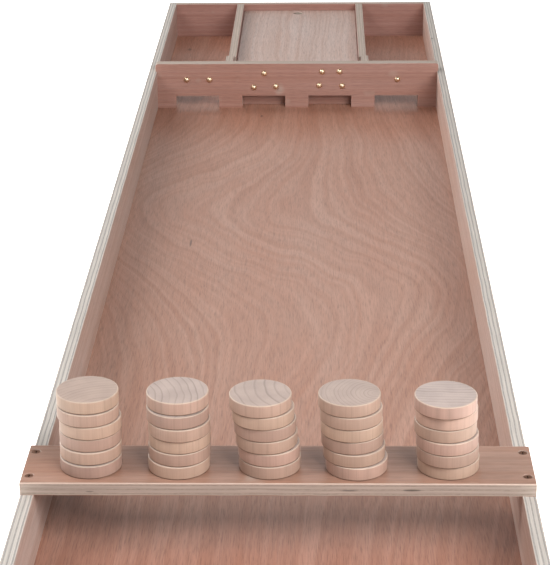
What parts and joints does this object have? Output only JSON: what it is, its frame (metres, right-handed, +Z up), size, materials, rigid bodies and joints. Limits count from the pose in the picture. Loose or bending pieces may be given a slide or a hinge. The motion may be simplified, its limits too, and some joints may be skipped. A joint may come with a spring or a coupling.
{
  "type": "shuffleboard table",
  "caption": "Long low plywood lane with side rails, a gate board with scoring nails, a lidded disc store, a cross bridge and wooden sliding discs.",
  "frame": {"origin": "on the surface the table stands on, below the middle of the lane", "axes": "+Y along the lane towards the gates, +X to the player's right, +Z up"},
  "size_m": [0.412, 2, 0.146],
  "materials": {
    "plywood": "matt okoume faced plywood, pale edges",
    "playing_surface": "satin okoume veneer",
    "thin_plywood": "matt pale plywood",
    "softwood": "planed softwood",
    "disc_beech": "sanded beech",
    "nail_brass": "polished brass",
    "screw_steel": "dull steel"
  },
  "bodies": {
    "table": {"left_side_rail": "plywood", "right_side_rail": "plywood", "front_wall": "plywood", "back_wall": "plywood", "base_panel": "playing_surface", "base_batten_1": "softwood", "base_batten_2": "softwood", "base_batten_3": "softwood", "base_batten_4": "softwood", "left_divider": "plywood", "right_divider": "plywood", "centre_divider": "plywood", "left_lid_cleat": "softwood", "right_lid_cleat": "softwood", "bridge_plank": "plywood", "bridge_screws": "screw_steel", "frame_screws": "screw_steel"},
    "gate_board": {"gate_plate": "plywood", "left_gate_stub": "plywood", "right_gate_stub": "plywood", "score_nails_two": "nail_brass", "score_nails_three": "nail_brass", "score_nails_four": "nail_brass", "score_nails_one": "nail_brass"},
    "store_cover": {"store_lid": "thin_plywood", "lid_apron": "thin_plywood"},
    "disc_a1": {"disc_a1": "disc_beech"},
    "disc_a2": {"disc_a2": "disc_beech"},
    "disc_a3": {"disc_a3": "disc_beech"},
    "disc_a4": {"disc_a4": "disc_beech"},
    "disc_a5": {"disc_a5": "disc_beech"},
    "disc_a6": {"disc_a6": "disc_beech"},
    "disc_b1": {"disc_b1": "disc_beech"},
    "disc_b2": {"disc_b2": "disc_beech"},
    "disc_b3": {"disc_b3": "disc_beech"},
    "disc_b4": {"disc_b4": "disc_beech"},
    "disc_b5": {"disc_b5": "disc_beech"},
    "disc_b6": {"disc_b6": "disc_beech"},
    "disc_c1": {"disc_c1": "disc_beech"},
    "disc_c2": {"disc_c2": "disc_beech"},
    "disc_c3": {"disc_c3": "disc_beech"},
    "disc_c4": {"disc_c4": "disc_beech"},
    "disc_c5": {"disc_c5": "disc_beech"},
    "disc_c6": {"disc_c6": "disc_beech"},
    "disc_d1": {"disc_d1": "disc_beech"},
    "disc_d2": {"disc_d2": "disc_beech"},
    "disc_d3": {"disc_d3": "disc_beech"},
    "disc_d4": {"disc_d4": "disc_beech"},
    "disc_d5": {"disc_d5": "disc_beech"},
    "disc_d6": {"disc_d6": "disc_beech"},
    "disc_e1": {"disc_e1": "disc_beech"},
    "disc_e2": {"disc_e2": "disc_beech"},
    "disc_e3": {"disc_e3": "disc_beech"},
    "disc_e4": {"disc_e4": "disc_beech"},
    "disc_e5": {"disc_e5": "disc_beech"},
    "disc_e6": {"disc_e6": "disc_beech"}
  },
  "joints": [
    {"name": "gate_board_lift", "type": "slide", "parent": "table", "child": "gate_board", "axis": [0, 0, 1], "range_m": [0, 0.075]},
    {"name": "store_cover_lift", "type": "slide", "parent": "table", "child": "store_cover", "axis": [0, 0, 1], "range_m": [0, 0.06]},
    {"name": "disc_a1_lift", "type": "slide", "parent": "table", "child": "disc_a1", "axis": [0, 0, 1], "range_m": [0, 0.03]},
    {"name": "disc_a2_lift", "type": "slide", "parent": "disc_a1", "child": "disc_a2", "axis": [0, 0, 1], "range_m": [0, 0.03]},
    {"name": "disc_a3_lift", "type": "slide", "parent": "disc_a2", "child": "disc_a3", "axis": [0, 0, 1], "range_m": [0, 0.03]},
    {"name": "disc_a4_lift", "type": "slide", "parent": "disc_a3", "child": "disc_a4", "axis": [0, 0, 1], "range_m": [0, 0.03]},
    {"name": "disc_a5_lift", "type": "slide", "parent": "disc_a4", "child": "disc_a5", "axis": [0, 0, 1], "range_m": [0, 0.03]},
    {"name": "disc_a6_lift", "type": "slide", "parent": "disc_a5", "child": "disc_a6", "axis": [0, 0, 1], "range_m": [0, 0.03]},
    {"name": "disc_b1_lift", "type": "slide", "parent": "table", "child": "disc_b1", "axis": [0, 0, 1], "range_m": [0, 0.03]},
    {"name": "disc_b2_lift", "type": "slide", "parent": "disc_b1", "child": "disc_b2", "axis": [0, 0, 1], "range_m": [0, 0.03]},
    {"name": "disc_b3_lift", "type": "slide", "parent": "disc_b2", "child": "disc_b3", "axis": [0, 0, 1], "range_m": [0, 0.03]},
    {"name": "disc_b4_lift", "type": "slide", "parent": "disc_b3", "child": "disc_b4", "axis": [0, 0, 1], "range_m": [0, 0.03]},
    {"name": "disc_b5_lift", "type": "slide", "parent": "disc_b4", "child": "disc_b5", "axis": [0, 0, 1], "range_m": [0, 0.03]},
    {"name": "disc_b6_lift", "type": "slide", "parent": "disc_b5", "child": "disc_b6", "axis": [0, 0, 1], "range_m": [0, 0.03]},
    {"name": "disc_c1_lift", "type": "slide", "parent": "table", "child": "disc_c1", "axis": [0, 0, 1], "range_m": [0, 0.03]},
    {"name": "disc_c2_lift", "type": "slide", "parent": "disc_c1", "child": "disc_c2", "axis": [0, 0, 1], "range_m": [0, 0.03]},
    {"name": "disc_c3_lift", "type": "slide", "parent": "disc_c2", "child": "disc_c3", "axis": [0, 0, 1], "range_m": [0, 0.03]},
    {"name": "disc_c4_lift", "type": "slide", "parent": "disc_c3", "child": "disc_c4", "axis": [0, 0, 1], "range_m": [0, 0.03]},
    {"name": "disc_c5_lift", "type": "slide", "parent": "disc_c4", "child": "disc_c5", "axis": [0, 0, 1], "range_m": [0, 0.03]},
    {"name": "disc_c6_lift", "type": "slide", "parent": "disc_c5", "child": "disc_c6", "axis": [0, 0, 1], "range_m": [0, 0.03]},
    {"name": "disc_d1_lift", "type": "slide", "parent": "table", "child": "disc_d1", "axis": [0, 0, 1], "range_m": [0, 0.03]},
    {"name": "disc_d2_lift", "type": "slide", "parent": "disc_d1", "child": "disc_d2", "axis": [0, 0, 1], "range_m": [0, 0.03]},
    {"name": "disc_d3_lift", "type": "slide", "parent": "disc_d2", "child": "disc_d3", "axis": [0, 0, 1], "range_m": [0, 0.03]},
    {"name": "disc_d4_lift", "type": "slide", "parent": "disc_d3", "child": "disc_d4", "axis": [0, 0, 1], "range_m": [0, 0.03]},
    {"name": "disc_d5_lift", "type": "slide", "parent": "disc_d4", "child": "disc_d5", "axis": [0, 0, 1], "range_m": [0, 0.03]},
    {"name": "disc_d6_lift", "type": "slide", "parent": "disc_d5", "child": "disc_d6", "axis": [0, 0, 1], "range_m": [0, 0.03]},
    {"name": "disc_e1_lift", "type": "slide", "parent": "table", "child": "disc_e1", "axis": [0, 0, 1], "range_m": [0, 0.03]},
    {"name": "disc_e2_lift", "type": "slide", "parent": "disc_e1", "child": "disc_e2", "axis": [0, 0, 1], "range_m": [0, 0.03]},
    {"name": "disc_e3_lift", "type": "slide", "parent": "disc_e2", "child": "disc_e3", "axis": [0, 0, 1], "range_m": [0, 0.03]},
    {"name": "disc_e4_lift", "type": "slide", "parent": "disc_e3", "child": "disc_e4", "axis": [0, 0, 1], "range_m": [0, 0.03]},
    {"name": "disc_e5_lift", "type": "slide", "parent": "disc_e4", "child": "disc_e5", "axis": [0, 0, 1], "range_m": [0, 0.03]},
    {"name": "disc_e6_lift", "type": "slide", "parent": "disc_e5", "child": "disc_e6", "axis": [0, 0, 1], "range_m": [0, 0.03]}
  ]
}
